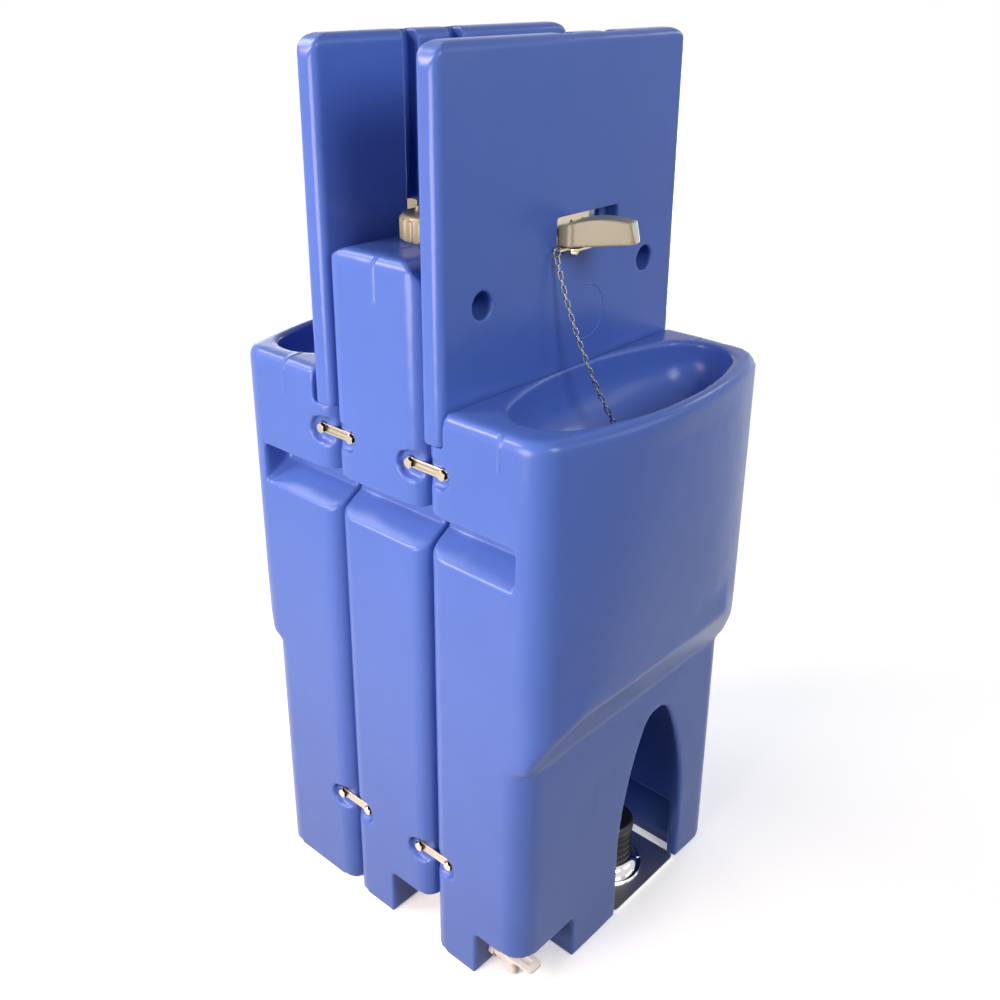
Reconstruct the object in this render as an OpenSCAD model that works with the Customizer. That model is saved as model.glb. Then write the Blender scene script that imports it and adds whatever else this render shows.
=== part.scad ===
// Double-sided hand-wash station: a fresh-water tank between two basin units,
// each with a splashback, a swivel spout, a bowl with plug and chain, and a
// foot pump in an arched bay. +Z up, front station faces -Y, origin at the
// centre of the footprint on the floor. Millimetres.

/* [Station] */
// Width of every unit across the front
station_w = 495; // [470:1:520]
// Depth of the whole station, front rim to rear rim
station_d = 654; // [640:2:680]
// Height of the basin rim
rim_h = 880; // [860:1:920]
// Wall of the moulded shells
wall = 5; // [4:0.5:6]
// Gap between the units where they stand side by side
joint_gap = 4; // [3:0.5:6]
// Radius of the vertical corners along the joints
joint_r = 27; // [18:1:30]

/* [Basin unit] */
// Radius of the front corners of the leg part
leg_corner_r = 38; // [25:1:42]
// How far the upper part stands out over the leg part
overhang = 38; // [30:1:42]
// Height where the overhang starts
overhang_z = 400; // [390:5:430]
// Height of the sloped underside of the overhang
overhang_h = 80; // [70:5:90]
// How far the middle of the rim stands out over the leg part
rim_reach = 62; // [56:1:66]
// Radius of the front corners of the upper part
rim_corner_r = 45; // [40:1:48]
// Radius of the edge round the rim
rim_edge_r = 16; // [10:1:18]

/* [Bowl] */
// Length of the bowl opening
bowl_l = 414; // [390:2:420]
// Width of the bowl opening
bowl_w = 180; // [170:1:184]
// Depth of the bowl below the rim
bowl_h = 109; // [104:1:116]
// Sideways place of the bowl centre
bowl_x = 6; // [-4:1:10]
// Distance from the splashback joint to the bowl
bowl_back = 5; // [4:0.5:8]
// Radius of the round ends of the bowl opening
bowl_end_r = 62; // [56:1:68]

/* [Splashback] */
// Height of the splashback panel
panel_h = 480; // [460:5:520]
// Thickness of the splashback panel
panel_t = 36; // [34:0.5:38]
// How deep the panel sits below the rim
panel_seat = 48; // [44:1:54]
// Radius of the top corners of the panel
panel_corner_r = 32; // [24:1:40]
// Radius of the edges of the panel
panel_edge_r = 12; // [8:1:14]
// Diameter of the two round holes
panel_hole_d = 36; // [30:1:40]
// Distance between the two round holes
panel_hole_span = 342; // [320:2:360]
// Height of the round holes above the rim
panel_hole_z = 120; // [110:1:130]
// Width of the tap slot
slot_w = 129; // [124:1:134]
// Height of the tap slot
slot_h = 40; // [38:1:44]
// Sideways place of the slot centre
slot_x = 37.5; // [35:0.5:40]
// Height of the slot's lower edge above the rim
slot_z = 167; // [160:1:175]
// Depth of the slot
slot_d = 24.5; // [23:0.5:26]
// Width of the hose grooves down the back
groove_w = 26; // [24:1:28]
// Distance between the two hose grooves
groove_span = 85; // [84:1:88]
// Depth of the hose grooves
groove_d = 26; // [24:1:27]
// Diameter of the plain ring below the slot
ring_d = 75; // [60:1:84]

/* [Tank] */
// Depth of the tank, joint face to joint face
tank_d = 171; // [168:0.5:180]
// Height of the tank
tank_h = 1058; // [1040:1:1080]
// Radius of the tank's top edges along the width
tank_top_r = 42; // [30:1:50]
// Radius of the tank's top edges at the sides
tank_side_r = 18; // [12:1:24]
// Diameter of the filler cap
cap_d = 95; // [90:1:104]
// Height of the filler cap
cap_h = 34; // [30:1:38]
// Number of ribs round the filler cap
cap_ribs = 20; // [16:1:24]
// Sideways place of the filler cap
cap_x = -128; // [-140:1:-110]

/* [Grips and joints] */
// Height of the lower lip of the side grips
grip_z = 672; // [660:1:684]
// Height of the grip opening
grip_h = 63; // [56:1:68]
// Depth of the side grips
grip_d = 45; // [38:1:48]
// Rise of the sloped grip floor
grip_rise = 28; // [20:1:34]
// Length of the grip in a basin unit
grip_l = 156; // [140:1:160]
// Height of the lower link plates
link_low_z = 162; // [150:1:180]
// How far the upper link plates sit below the splashback
link_drop = 39; // [36:1:44]
// Length of a link plate
link_l = 78; // [74:1:84]
// Height of a link plate
link_w = 14; // [13:0.5:16]
// Thickness of a link plate
link_t = 3; // [2:0.5:3.5]
// Distance between the two bolts of a link plate
link_pitch = 60; // [56:1:62]
// Depth of the pocket that holds a link plate
pocket_d = 12; // [10:0.5:13]

/* [Foot bay] */
// Sideways place of the middle of the arch
bay_x = 66; // [62:1:68]
// Width of the arch at the floor
bay_w = 170; // [166:1:174]
// Height of the straight part of the arch sides
bay_side_h = 110; // [100:5:120]
// Radius of the arch sides
bay_side_r = 478; // [460:2:500]
// Radius of the arch top
bay_top_r = 38; // [34:1:42]
// Depth of the bay behind the leg face
bay_d = 139; // [136:0.5:141]
// Height of the wider chamber round the pump
chamber_h = 107; // [100:1:115]
// How much wider the chamber is on each side
chamber_step = 17; // [12:1:20]
// Depth of the leg face in front of the chamber
chamber_lip = 19; // [12:1:20]

/* [Corner cut-out] */
// Height of the corner cut-out
cut_h = 75; // [70:1:85]
// Width of the corner cut-out
cut_w = 120.5; // [112:0.5:124]
// Depth of the corner cut-out
cut_d = 87; // [84:1:90]
// Depth of the tank's foot notch
notch_d = 88; // [80:1:95]
// Height of the tank's foot notch
notch_h = 78; // [72:1:85]

/* [Tap] */
// Swing of the stored spout from straight out, in degrees
spout_swing = 17; // [0:1:25]
// Length of the spout from its pivot to its tip
spout_l = 87; // [80:1:95]
// Radius of the spout's hub
hub_r = 22; // [20:0.5:23]
// Width of the spout at its tip
spout_tip_w = 26; // [22:1:30]
// Height of the spout at its highest point
spout_h = 40.5; // [38:0.5:42]
// Radius of the long curve over the spout's top
spout_arc_r = 145; // [140:1:170]
// Bore radius of the spout's pivot
pivot_bore_r = 4.05; // [4.03:0.01:4.08]
// Radius of the pivot bolt
pivot_r = 4; // [4:0.01:4.01]

/* [Plug and chain] */
// Number of chain links
chain_links = 25; // [25:2:27]
// Length of one chain link outside
chain_link_l = 13.5; // [13.4:0.1:13.7]
// Wire radius of a chain link
chain_wire_r = 0.9; // [0.8:0.05:0.95]
// Diameter of the plug at its top
plug_d = 43; // [40:0.5:44]

/* [Pump] */
// Radius of the pump's domed flange
pump_r = 55; // [50:1:56]
// Radius of the bellows at its folds
bellows_r = 38; // [34:1:40]
// Height of the bellows
bellows_h = 58; // [54:1:62]
// Number of bellows folds
bellows_folds = 5; // [4:1:6]
// Outer radius of the delivery hose
hose_r = 7; // [6.5:0.1:7.4]
// Bore radius of the delivery hose
hose_bore_r = 5.05; // [5.03:0.01:5.1]

/* [Hidden] */

$fn = 64;
blue = "#6478c8";
beige = "#8f8a6c";
steel = "#c9c4b4";
cut = 1;          // how far a cutter runs past a face
clear = 0.3;      // gap between faces that move past each other

half_w = station_w / 2;
tank_y = tank_d / 2;
leg_d = station_d / 2 - tank_y - joint_gap - rim_reach;
back_y = -(tank_y + joint_gap);
leg_y = back_y - leg_d;
band_y = leg_y - overhang;
band_z = overhang_z + overhang_h;
rim_y = leg_y - rim_reach;

// Centres of the arcs that make the bowed front
// The bow and the round corners meet on lines whose sides are as 12 to 35 to 37
corner_x = half_w - rim_corner_r;
bow_r = corner_x * 37 / 12 + rim_corner_r;
bow_y = rim_y + bow_r;
corner_y = bow_y - corner_x * 35 / 12;

// Splashback and its rebate in the basin unit
panel_gap = 1;
panel_back = -(tank_y + panel_gap);
panel_front = panel_back - panel_t;
rebate_gap = 2.5;
rebate_y = panel_front - rebate_gap;
panel_z = rim_h - panel_seat;
panel_screw_x = 200;
panel_screw_z = panel_z + panel_seat / 2;
slot_low = rim_h + slot_z;
slot_top = slot_low + slot_h;
groove_x = [slot_x - groove_span / 2 - cut / 2, slot_x + groove_span / 2 + cut / 2];
ring_z = 70;      // height of the plain ring above the rim
panel_far = 1.5 * panel_t - panel_back;
screw_head_r = 6.5;
screw_sink = 8;

// Bowl: revolved about a level axis below the rim
bowl_axis_z = rim_h - bowl_h + bowl_w / 2;
bowl_y = rebate_y - bowl_back - bowl_w / 2;
bowl_half = bowl_l / 2;
bowl_mid_y = bowl_w / 2;
bowl_end_x = bowl_half - bowl_end_r;
bowl_side_r = (pow(bowl_end_x, 2) + pow(bowl_mid_y, 2) - pow(bowl_end_r, 2))
    / (2 * (bowl_mid_y - bowl_end_r));
bowl_touch = bowl_end_x * bowl_side_r / (bowl_side_r - bowl_end_r);
waste_z = rim_h - bowl_h;
waste_r = 28;
waste_t = 3;
waste_tail_r = 24;
waste_boss = 13;

// Foot bay and pump
bay_back = leg_y + bay_d;
chamber_y = leg_y + chamber_lip;
pump_y = (chamber_y + bay_back) / 2 - 1;
plate_t = 4;
dome_h = 20;
bellows_z = plate_t + dome_h;
tread_h = 15;
pump_travel = 30;
port_z = 16;
port_x = [bay_x - 14, bay_x + 14];
barb_r = 6;
hose_x = port_x[1];
hose_y = panel_back - groove_d + hose_r + clear;
channel_w = 32;
channel_d = 28.5;
service_h = 50;
suction_r = 8;
outlet_r = 5;

// Drain valve in the corner cut-out
valve_x = -half_w + 41.5;
valve_z = 24;
cut_y = leg_y + cut_d;
lever_y = cut_y - 27;
lever_l = 57;
lever_w = 28;
lever_z = 36;
lever_t = 4;

// Tap
steel_t = 2;
tongue_t = 3;
bracket_x = slot_x - slot_w / 2 + 1;
bracket_w = slot_w * 0.72;
tongue_w = 40;
tongue_r = 8;
plate_y = panel_front + slot_d - steel_t;
pipe_r = 5;
pipe_y = hose_y;
pipe_z = slot_low + 16;
pipe_bend = 13;
pivot_x = bracket_x + tongue_w / 2;
pivot_y = pipe_y - pipe_r - hub_r - 0.5;
spout_z = slot_low + tongue_t + clear;
spout_top_x = spout_l * 0.6;
spout_tip_r = 6;
spout_lift = 10;
spout_lean = 12;
water_r = 4;

// Link plates
link_z = [link_low_z, panel_z - link_drop];
link_x = half_w - pocket_d;
bolt_head_r = 7.5;
bolt_head_h = 5.5;
pocket_l = 93;
pocket_h = 38;
bolt_r = 3.95;
bolt_bore_r = 4;
insert_r = 7;
insert_l = 16;

// Chain: hangs in a shallow curve from the bracket's ring to the plug's clip
ring_r = 6.5;
ring_wire_r = 0.8;
link_wire_l = chain_link_l - 2 * chain_wire_r;
link_mid_w = 5.4;
chain_slack = 0.15;
chain_step = link_wire_l - 2 * chain_wire_r - chain_slack;
chain_top = [pivot_x - hub_r - 10.5, pivot_y + 1.7, slot_low - 2 - ring_r];
chain_lift = chain_wire_r + ring_wire_r + chain_slack;
clip_wire_r = ring_wire_r;
clip_foot = [bowl_x, bowl_y, waste_z + 16];
clip_l = 30;
clip_w = 14;
clip_lean = [-0.1, 0.5, 0.86];
clip_top = clip_foot + clip_l * clip_lean;
chain_bottom = clip_top;
chain_run = chain_step * (chain_links - 1) + link_wire_l - 2 * chain_lift;
chord = norm(chain_bottom - chain_top);
chord_dir = (chain_bottom - chain_top) / chord;
down = [0, 0, -1];
sag_raw = down - (down * chord_dir) * chord_dir;
sag_dir = sag_raw / norm(sag_raw);
sag = sqrt(max(0, 3 * chord * (chain_run - chord) / 8));
function chain_point(t) = chain_top + t * chord * chord_dir + 4 * sag * t * (1 - t) * sag_dir;

module rear() { rotate([0, 0, 180]) children(); }

// Draws children on both sides of the width
module both_sides() {
    children();
    mirror([1, 0, 0]) children();
}

// Turns the local Z axis onto the line from p to q
module along(p, q) {
    d = q - p;
    translate(p) rotate([0, acos(d[2] / norm(d)), atan2(d[1], d[0])]) children();
}

// Prism that rounds the vertical edge at x = y = 0 of a block in x < 0, y < 0
module corner_cut(r, z0, z1) {
    translate([-r, -r, z0]) difference() {
        cube([r + cut, r + cut, z1 - z0]);
        translate([0, 0, -cut]) cylinder(r = r, h = z1 - z0 + 2 * cut);
    }
}

// Extrudes an outline drawn in Y (first) and Z (second) across the width
module across_x(x0, x1) {
    translate([x0, 0, 0]) rotate([90, 0, 90]) linear_extrude(x1 - x0) children();
}

// Extrudes an outline drawn in X and Z from y1 towards -Y to y0
module across_y(y0, y1) {
    translate([0, y1, 0]) rotate([90, 0, 0]) linear_extrude(y1 - y0) children();
}

// Outline of a column w wide and h high whose top outer edge is rounded
module edge_outline(w, h, r) {
    square([w, h - r]);
    square([w - r, h]);
    translate([w - r, h - r]) circle(r);
}

// Outline of a round-ended slot between two points on a level line
module slot_outline(x0, x1, z, h) {
    translate([x0 + h / 2, z - h / 2]) square([x1 - x0 - h, h]);
    for (x = [x0 + h / 2, x1 - h / 2]) translate([x, z]) circle(d = h);
}

// ---- basin unit ----

// Upper part of the basin unit, with its bowed front and rounded rim, drawn in by inset
module upper_form(inset, top) {
    r = rim_corner_r - inset;
    edge = max(rim_edge_r - inset, 2);
    translate([0, 0, overhang_z]) {
        h = top - overhang_z;
        translate([-corner_x, corner_y, 0]) cube([2 * corner_x, back_y - inset - corner_y, h]);
        both_sides() {
            translate([corner_x, back_y - inset, 0]) rotate([90, 0, 0])
                linear_extrude(back_y - inset - corner_y) edge_outline(r, h, edge);
            translate([corner_x, corner_y, 0]) intersection() {
                rotate([0, 0, 90]) rotate_extrude() edge_outline(r, h, edge);
                linear_extrude(h + cut) polygon([[0, 0], [36, -105], [120, -105], [120, 0]]);
            }
        }
        intersection() {
            translate([0, bow_y, 0]) rotate([0, 0, 90]) rotate_extrude($fn = 360)
                translate([bow_r - rim_corner_r - 40, 0]) edge_outline(r + 40, h, edge);
            linear_extrude(h + cut) polygon([
                [0, bow_y], [-corner_x * 1.2, bow_y - corner_x * 3.5],
                [corner_x * 1.2, bow_y - corner_x * 3.5]
            ]);
        }
    }
}

// Side view of the upper part: leaning front above, sloped underside below
module upper_side_outline(inset) {
    lean = (rim_y + 8 - band_y) * -1;
    translate([inset, inset * 0.6]) polygon([
        [back_y + 50, overhang_z], [leg_y, overhang_z], [band_y, band_z],
        [band_y - lean * (rim_h - band_z) / (rim_h - band_z) - 16, rim_h + 60], [back_y + 50, rim_h + 60]
    ]);
}

// Leg part of the basin unit
module leg_form(inset) {
    w = half_w - inset;
    y = leg_y + inset;
    difference() {
        translate([-w, y, inset]) cube([2 * w, back_y - inset - y, band_z - inset]);
        both_sides() translate([w, y, 0]) mirror([0, 1, 0])
            corner_cut(leg_corner_r - inset, -cut, band_z + cut);
    }
}

// Bowl: an oval of four arcs revolved about its long axis
module bowl_form() {
    rotate([0, 90, 0]) rotate_extrude($fn = 128) intersection() {
        union() {
            intersection() {
                translate([bowl_mid_y - bowl_side_r, 0]) circle(bowl_side_r, $fn = 360);
                translate([-1, -bowl_touch]) square([bowl_w, 2 * bowl_touch]);
            }
            for (s = [-1, 1]) translate([0, s * bowl_end_x]) circle(bowl_end_r);
        }
        translate([0, -bowl_half - 20]) square([bowl_half, 2 * bowl_half + 40]);
    }
}

// Bowl outline seen from above
module bowl_plan() {
    intersection() {
        translate([0, bowl_mid_y - bowl_side_r]) circle(bowl_side_r, $fn = 360);
        translate([0, bowl_side_r - bowl_mid_y]) circle(bowl_side_r, $fn = 360);
        translate([-bowl_touch, -bowl_w]) square([2 * bowl_touch, 2 * bowl_w]);
    }
    for (s = [-1, 1]) translate([s * bowl_end_x, 0]) circle(bowl_end_r);
}

// Bowl space: the revolved form below its axis and straight sides up to the rim,
// grown evenly from its centre by k
module bowl_space(k) {
    translate([bowl_x, bowl_y, bowl_axis_z]) {
        intersection() {
            scale(k) bowl_form();
            translate([-bowl_l, -bowl_w, -2 * bowl_w]) cube([2 * bowl_l, 2 * bowl_w, 2 * bowl_w]);
        }
        linear_extrude(rim_h - bowl_axis_z + cut) scale(k) bowl_plan();
    }
}

// Arch seen from the front, grown by skin
module arch_outline(skin) {
    w = bay_w / 2;
    cx = bay_side_r - w;
    tz = bay_side_h + sqrt(pow(bay_side_r - bay_top_r, 2) - pow(cx, 2));
    touch = bay_side_h + (tz - bay_side_h) * bay_side_r / (bay_side_r - bay_top_r);
    translate([bay_x, 0]) {
        translate([-w - skin, -cut]) square([2 * (w + skin), bay_side_h + cut]);
        intersection() {
            for (s = [-1]) translate([s * cx, bay_side_h]) circle(bay_side_r + skin, $fn = 360);
            translate([cx, bay_side_h]) circle(bay_side_r + skin, $fn = 360);
            translate([-w - skin, bay_side_h]) square([2 * (w + skin), touch - bay_side_h]);
        }
        translate([0, tz]) circle(bay_top_r + skin);
    }
}

// Foot bay: the arch, the wider pump chamber and the way through to the tank
module bay_space(skin) {
    across_y(leg_y - 60, bay_back + skin) arch_outline(skin);
    w = bay_w / 2 + chamber_step + skin;
    translate([bay_x - w, chamber_y - skin, -cut])
        cube([2 * w, bay_back - chamber_y + 2 * skin, chamber_h + cut + skin]);
}

module service_space(skin) {
    translate([port_x[0] - 14 - skin, bay_back - cut, -cut])
        cube([port_x[1] - port_x[0] + 32 + 2 * skin, back_y - bay_back + 2 * cut, service_h + cut + skin]);
    translate([hose_x - channel_w / 2 - skin, back_y - channel_d - skin, -cut])
        cube([channel_w + 2 * skin, channel_d + skin + cut, panel_z + 2 * cut]);
}

module cut_out_space(skin) {
    translate([-half_w - cut, leg_y - cut, -cut])
        cube([cut_w + cut + skin, cut_d + cut + skin, cut_h + cut + skin]);
}

// Side grip: a sloped floor running up and in under a flat lip
module grip_space(y0, y1, skin) {
    both_sides() across_y(y0 - skin, y1 + skin) polygon([
        [half_w + cut, grip_z - skin - cut * grip_rise / grip_d],
        [half_w - grip_d - skin, grip_z + grip_rise - skin],
        [half_w - grip_d - skin, grip_z + grip_h + skin],
        [half_w + cut, grip_z + grip_h + skin]
    ]);
}

// Pockets for the link plates at the joint in front of the tank
module link_pockets() {
    y = back_y + joint_gap / 2;
    both_sides() for (z = link_z) {
        across_x(link_x, half_w + cut) slot_outline(y - pocket_l / 2, y + pocket_l / 2, z, pocket_h);
        for (s = [-1, 1]) translate([link_x - insert_l, y + s * link_pitch / 2, z]) rotate([0, 90, 0])
            cylinder(r = insert_r, h = insert_l + cut);
    }
}

// Solid blocks inside the shells that carry the link plates
module link_bosses(y0, y1) {
    both_sides() for (z = link_z) translate([half_w - 36, y0, z - pocket_h / 2 - 8])
        cube([36, y1 - y0, pocket_h + 16]);
}

module basin_unit() {
    color(blue) difference() {
        basin_outside();
        basin_cavity();
    }
}

// Outer form of the basin unit with everything that is let into it
module basin_outside() {
    difference() {
        union() {
            intersection() {
                upper_form(0, rim_h);
                across_x(-half_w - cut, half_w + cut) upper_side_outline(0);
            }
            leg_form(0);
        }
        both_sides() translate([half_w, back_y, 0]) corner_cut(joint_r, -cut, rim_h + cut);
        translate([-half_w - cut, rebate_y, panel_z]) cube([station_w + 2 * cut, 60, rim_h]);
        bowl_space(1);
        bay_space(0);
        service_space(0);
        cut_out_space(0);
        grip_space(back_y - grip_l, back_y + cut, 0);
        link_pockets();
        translate([bowl_x, bowl_y, waste_z - waste_t]) cylinder(r = waste_r + clear, h = 20);
        translate([bowl_x, bowl_y, waste_z - 40]) cylinder(r = waste_tail_r + clear, h = 60);
        translate([valve_x, cut_y - cut, valve_z]) rotate([-90, 0, 0]) cylinder(r = 9.05, h = 30);
        both_sides() translate([panel_screw_x, rebate_y - 24, panel_screw_z]) rotate([-90, 0, 0])
            cylinder(r = bolt_bore_r, h = 30);
    }
}

// Hollow inside the basin unit: the grey-water tank
module basin_cavity() {
    difference() {
        union() {
            across_x(-half_w, half_w) polygon([
                [back_y - wall, overhang_z], [leg_y + wall, overhang_z], [band_y + wall, band_z + 3],
                [rim_y + wall + 2, rim_h - wall], [back_y - wall, rim_h - wall]
            ]);
            leg_form(wall);
        }
        // keeps the hollow inside the bowed front and its round corners
        both_sides() translate([0, 0, overhang_z - 20]) linear_extrude(rim_h) polygon([
            [half_w - wall, corner_y], [corner_x + 22, corner_y - 34], [corner_x - 20, corner_y - 43],
            [120, bow_y - bow_r + 19], [60, rim_y + wall + 4], [0, rim_y + wall + 2],
            [0, rim_y - 60], [half_w + 60, rim_y - 60], [half_w + 60, 0], [half_w - wall, 0]
        ]);
        both_sides() translate([half_w - wall, back_y - wall, 0])
            corner_cut(joint_r - wall + 2, -cut, rim_h);
        translate([-half_w, rebate_y - wall, panel_z - wall]) cube([station_w, 60, rim_h]);
        bowl_skin();
        translate([bowl_x, bowl_y, waste_z - waste_boss]) cylinder(r = waste_r + 6, h = waste_boss + 9);
        bay_space(wall);
        service_space(wall);
        cut_out_space(wall);
        grip_space(back_y - grip_l, back_y, wall);
        link_bosses(back_y - 58, back_y);
        both_sides() translate([panel_screw_x - 10, rebate_y - 32, panel_screw_z - 12]) cube([20, 40, 24]);
    }
}

// Plain form round the bowl that the hollow keeps clear of
module bowl_skin() {
    r = bowl_w / 2 + wall;
    l = bowl_l + 2 * wall;
    translate([bowl_x - l / 2, bowl_y, bowl_axis_z]) {
        rotate([0, 90, 0]) cylinder(r = r, h = l);
        translate([0, -r, 0]) cube([l, 2 * r, rim_h]);
    }
}

// ---- tank ----

// Outer form of the tank drawn in by inset
module tank_form(inset) {
    y = tank_y - inset;
    w = half_w - inset;
    h = tank_h - inset;
    rt = tank_top_r - inset;
    rs = tank_side_r - inset;
    difference() {
        intersection() {
            across_x(-w, w) {
                translate([-y, inset]) square([2 * y, h - rt - inset]);
                translate([-y + rt, inset]) square([2 * (y - rt), h - inset]);
                for (s = [-1, 1]) translate([s * (y - rt), h - rt]) circle(rt);
            }
            across_y(-y - cut, y + cut) {
                translate([-w, inset]) square([2 * w, h - rs - inset]);
                translate([-w + rs, inset]) square([2 * (w - rs), h - inset]);
                for (s = [-1, 1]) translate([s * (w - rs), h - rs]) circle(rs);
            }
        }
        for (m = [0, 1]) mirror([0, m, 0]) both_sides() translate([w, y, 0])
            corner_cut(joint_r - 2 - inset, -cut, tank_h + cut);
    }
}

module notch_space(skin) {
    translate([-half_w - cut, -tank_y - cut, -cut])
        cube([notch_d + cut + skin, tank_y + cut - 2 + skin, notch_h + cut + skin]);
}

neck_r = cap_d / 2 - 9;
neck_h = cap_h - 8;
neck_bore_r = neck_r - 6;
neck_foot = 30;
drain_y = -tank_y / 2;
drain_z = 32;
drain_bore_r = 14;
drain_boss = [22, 40, 60];
outlet_boss = [32, 18, 36];
outlet_bore_r = 8.05;

module fresh_water_tank() {
    color(blue) difference() {
        union() {
            tank_form(0);
            translate([cap_x, 0, tank_h - neck_foot]) cylinder(r = neck_r, h = neck_foot + neck_h);
        }
        difference() {
            tank_form(wall);
            grip_space(-tank_y, tank_y, wall);
            notch_space(wall);
            for (m = [0, 1]) mirror([0, m, 0]) link_bosses(-tank_y, -tank_y + 54);
            for (a = [0, 180]) rotate([0, 0, a]) translate([port_x[0] - outlet_boss[0] / 2, -tank_y, 0])
                cube(outlet_boss);
            translate([cap_x, 0, tank_h - neck_foot]) cylinder(r = neck_r + 3, h = neck_foot + cut);
            translate([-half_w + notch_d, drain_y - drain_boss[1] / 2, 0]) cube(drain_boss);
        }
        translate([cap_x, 0, tank_h - 2 * neck_foot])
            cylinder(r = neck_bore_r, h = 2 * neck_foot + neck_h + cut);
        grip_space(-tank_y - cut, tank_y + cut, 0);
        notch_space(0);
        for (a = [0, 180]) rotate([0, 0, a]) {
            link_pockets();
            translate([port_x[0], -tank_y - cut, port_z]) rotate([-90, 0, 0])
                cylinder(r = outlet_bore_r, h = outlet_boss[1] + wall);
        }
        translate([-half_w + notch_d - cut, drain_y, drain_z]) rotate([0, 90, 0])
            cylinder(r = drain_bore_r, h = drain_boss[0] + wall);
    }
}

// Screw cap with a ribbed skirt and a small knob
module filler_cap() {
    z0 = tank_h + 1;
    rib_r = cap_d / 19;
    color(beige) translate([cap_x, 0, z0]) difference() {
        union() {
            rotate_extrude() edge_outline(cap_d / 2 - rib_r / 2, cap_h, 5);
            for (i = [0 : cap_ribs - 1]) rotate([0, 0, i * 360 / cap_ribs])
                translate([cap_d / 2 - rib_r, 0, 1.5]) cylinder(r = rib_r, h = cap_h - 7);
            translate([-cap_d / 6, cap_d / 6, cap_h - 4]) rotate_extrude() edge_outline(4, 13, 1.5);
        }
        translate([0, 0, -cut]) cylinder(r = neck_r + 0.6, h = cap_h - 5 + cut);
    }
}

module filler_cap_seal() {
    color("dimgray") translate([cap_x, 0, tank_h + neck_h]) difference() {
        cylinder(r = neck_r, h = 3);
        translate([0, 0, -cut]) cylinder(r = neck_bore_r, h = 5);
    }
}

module tank_drain_plug() {
    color("dimgray") translate([-half_w + notch_d, drain_y, drain_z]) rotate([0, -90, 0]) difference() {
        union() {
            rotate_extrude() edge_outline(19, 14, 3);
            translate([0, 0, -18]) cylinder(r = drain_bore_r - 0.1, h = 19);
        }
        for (a = [0, 120, 240]) rotate([0, 0, a]) translate([21, 0, 3]) cylinder(r = 5, h = 20);
    }
}

// Nipples that the suction hoses push onto
module tank_outlets() {
    color("dimgray") for (a = [0, 180]) rotate([0, 0, a]) translate([port_x[0], -tank_y, port_z])
        rotate([90, 0, 0]) difference() {
            union() {
                translate([0, 0, 2 - outlet_boss[1]])
                    cylinder(r = outlet_bore_r - 0.05, h = outlet_boss[1] - 1);
                cylinder(r = 1.8 * barb_r, h = joint_gap);
                cylinder(r = barb_r, h = 3.7 * barb_r);
            }
            translate([0, 0, -2 * outlet_boss[1]]) cylinder(r = water_r, h = 4 * outlet_boss[1]);
        }
}

// ---- splashback ----

module panel_form(inset) {
    w = half_w - inset;
    top = panel_z + panel_h - inset;
    low = panel_z + inset;
    y0 = panel_front + inset;
    y1 = panel_back - inset;
    rc = panel_corner_r - inset;
    re = panel_edge_r - inset;
    difference() {
        intersection() {
            across_y(y0, y1) {
                translate([-w, low]) square([2 * w, top - rc - low]);
                translate([-w + rc, low]) square([2 * (w - rc), top - low]);
                for (s = [-1, 1]) translate([s * (w - rc), top - rc]) circle(rc);
            }
            across_x(-w - cut, w + cut) {
                translate([y0, low - cut]) square([y1 - y0, top - re - low + cut]);
                translate([y0 + re, low - cut]) square([y1 - y0 - 2 * re, top - low + cut]);
                for (y = [y0 + re, y1 - re]) translate([y, top - re]) circle(re);
            }
        }
        both_sides() {
            translate([w, y1, 0]) corner_cut(re, low - cut, top + cut);
            translate([w, y0, 0]) mirror([0, 1, 0]) corner_cut(re, low - cut, top + cut);
        }
    }
}

module slot_space(skin) {
    translate([slot_x - slot_w / 2 - skin, panel_front - cut, slot_low - skin])
        cube([slot_w + 2 * skin, slot_d + cut + skin, slot_h + 2 * skin]);
}

module groove_space(skin) {
    for (x = groove_x) translate([x - groove_w / 2 - skin, panel_back - groove_d - skin, panel_z - cut])
        cube([groove_w + 2 * skin, groove_d + skin + cut, panel_h + 2 * cut]);
}

module splashback() {
    color(blue) difference() {
        panel_form(0);
        difference() {
            panel_form(wall);
            slot_space(wall);
            groove_space(wall);
            both_sides() {
                translate([panel_hole_span / 2, 0, rim_h + panel_hole_z]) rotate([90, 0, 0])
                    cylinder(d = panel_hole_d + 2 * wall, h = panel_far);
                translate([panel_screw_x, 0, panel_screw_z]) rotate([90, 0, 0])
                    cylinder(r = screw_head_r * 2, h = panel_far);
            }
        }
        slot_space(0);
        groove_space(0);
        both_sides() {
            translate([panel_hole_span / 2, 0, rim_h + panel_hole_z]) rotate([90, 0, 0])
                cylinder(d = panel_hole_d, h = panel_far);
            translate([panel_screw_x, 0, panel_screw_z]) rotate([90, 0, 0])
                cylinder(r = bolt_r + 0.35, h = panel_far);
            translate([panel_screw_x, cut, panel_screw_z]) rotate([90, 0, 0])
                cylinder(r = screw_head_r + 1.5, h = screw_sink - panel_back + cut);
        }
        translate([slot_x, panel_front + 1.2, rim_h + ring_z]) rotate([90, 0, 0]) difference() {
            cylinder(d = ring_d, h = 3);
            translate([0, 0, -cut]) cylinder(d = ring_d - 5, h = 5);
        }
    }
}

module panel_screws() {
    head_h = 5;
    color(steel) both_sides() translate([panel_screw_x, panel_back - screw_sink, panel_screw_z])
        rotate([90, 0, 0]) difference() {
            union() {
                translate([0, 0, -head_h]) cylinder(r = screw_head_r, h = head_h);
                cylinder(r = bolt_r, h = rebate_gap + panel_t + screw_sink);
            }
            translate([0, 0, -head_h - cut]) cylinder(r = screw_head_r / 2, h = head_h / 2 + cut, $fn = 6);
        }
}

// ---- tap ----

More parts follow.
